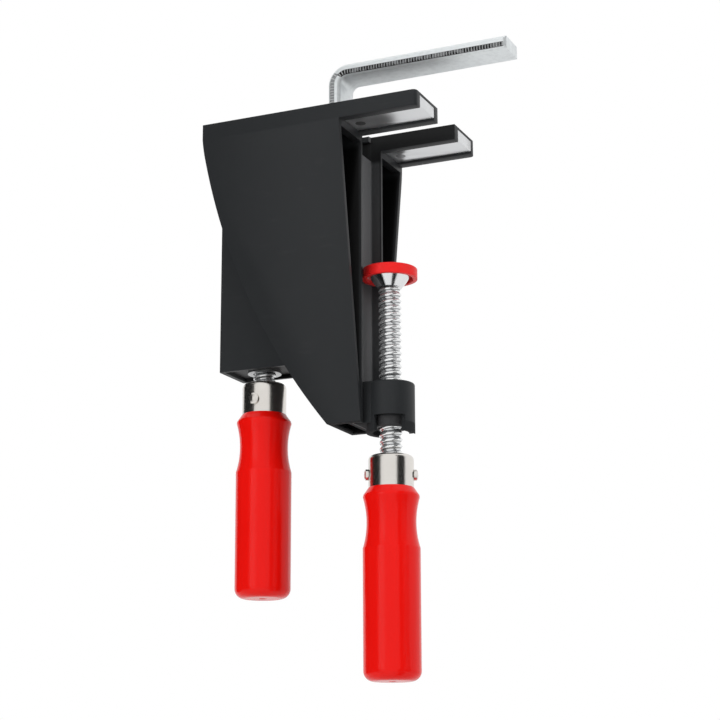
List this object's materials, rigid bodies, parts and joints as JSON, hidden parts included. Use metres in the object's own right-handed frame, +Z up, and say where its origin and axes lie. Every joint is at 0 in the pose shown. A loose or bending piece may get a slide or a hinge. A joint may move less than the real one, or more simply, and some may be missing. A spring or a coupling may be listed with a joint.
{
  "type": "twin-screw frame clamp",
  "caption": "Clamp for window and door frames: a moulded body with two steel-faced arms, a screw pressure pad under them and an L hook drawn along by a second screw.",
  "frame": {"origin": "where the front spindle's axis meets the plane of the arms' steel clamping faces", "axes": "+Z up along both spindles towards the hook, +X along the arms towards their free ends, +Y across the body"},
  "size_m": [0.1635, 0.084, 0.3293],
  "materials": {
    "body": "fine matte moulded",
    "bar_steel": "satin zinc",
    "dark_steel": "dark rivet",
    "nut_black": "blackened",
    "plain_steel": "plain",
    "zinc_steel": "bright zinc",
    "carriage_alloy": "die cast",
    "ferrule_nickel": "nickel",
    "pin_steel": "nickel",
    "plate_zinc": "bright zinc",
    "ring_plastic": "satin",
    "handle_lacquer": "gloss lacquer"
  },
  "bodies": {
    "body": {"housing": "body", "jaw_bar_near": "bar_steel", "jaw_bar_far": "bar_steel", "jaw_rivets": "dark_steel", "front_nut": "nut_black", "bearing_plate": "plain_steel", "thrust_washer": "plain_steel", "retainer_plate": "plain_steel"},
    "hook_slide": {"hook": "zinc_steel", "hook_carriage": "carriage_alloy", "carriage_nut": "plain_steel", "hook_pins": "plain_steel"},
    "rear_screw": {"rear_spindle": "zinc_steel", "rear_collar": "plain_steel", "rear_collar_pin": "plain_steel", "rear_ferrule": "ferrule_nickel", "rear_handle_pin": "pin_steel", "rear_handle": "handle_lacquer"},
    "pad_ball": {"swivel_ball": "plain_steel"},
    "pad": {"pressure_plate": "plate_zinc", "pad_ring": "ring_plastic"},
    "front_screw": {"front_spindle": "zinc_steel", "front_ferrule": "ferrule_nickel", "front_handle_pin": "pin_steel", "front_handle": "handle_lacquer"}
  },
  "joints": [
    {"name": "hook_travel", "type": "slide", "parent": "body", "child": "hook_slide", "axis": [0, 0, 1], "range_m": [-0.03, 0.03]},
    {"name": "rear_turn", "type": "hinge", "parent": "body", "child": "rear_screw", "pos_m": [-0.073, 0, -0.1], "axis": [0, 0, 1], "range_deg": [-3086, 3086]},
    {"name": "front_travel", "type": "slide", "parent": "body", "child": "pad_ball", "axis": [0, 0, 1], "range_m": [-0.04, 0.01]},
    {"name": "front_turn", "type": "hinge", "parent": "pad_ball", "child": "front_screw", "pos_m": [0, 0, -0.1], "axis": [0, 0, 1], "range_deg": [-4115, 1029]},
    {"name": "pad_tilt", "type": "hinge", "parent": "pad_ball", "child": "pad", "pos_m": [0, 0, -0.0802], "axis": [0, 1, 0], "range_deg": [-8, 8]}
  ],
  "couplings": [
    {"joint": "rear_turn", "follows": "hook_travel", "rad_per_m": -1795.2},
    {"joint": "front_turn", "follows": "front_travel", "rad_per_m": 1795.2}
  ]
}
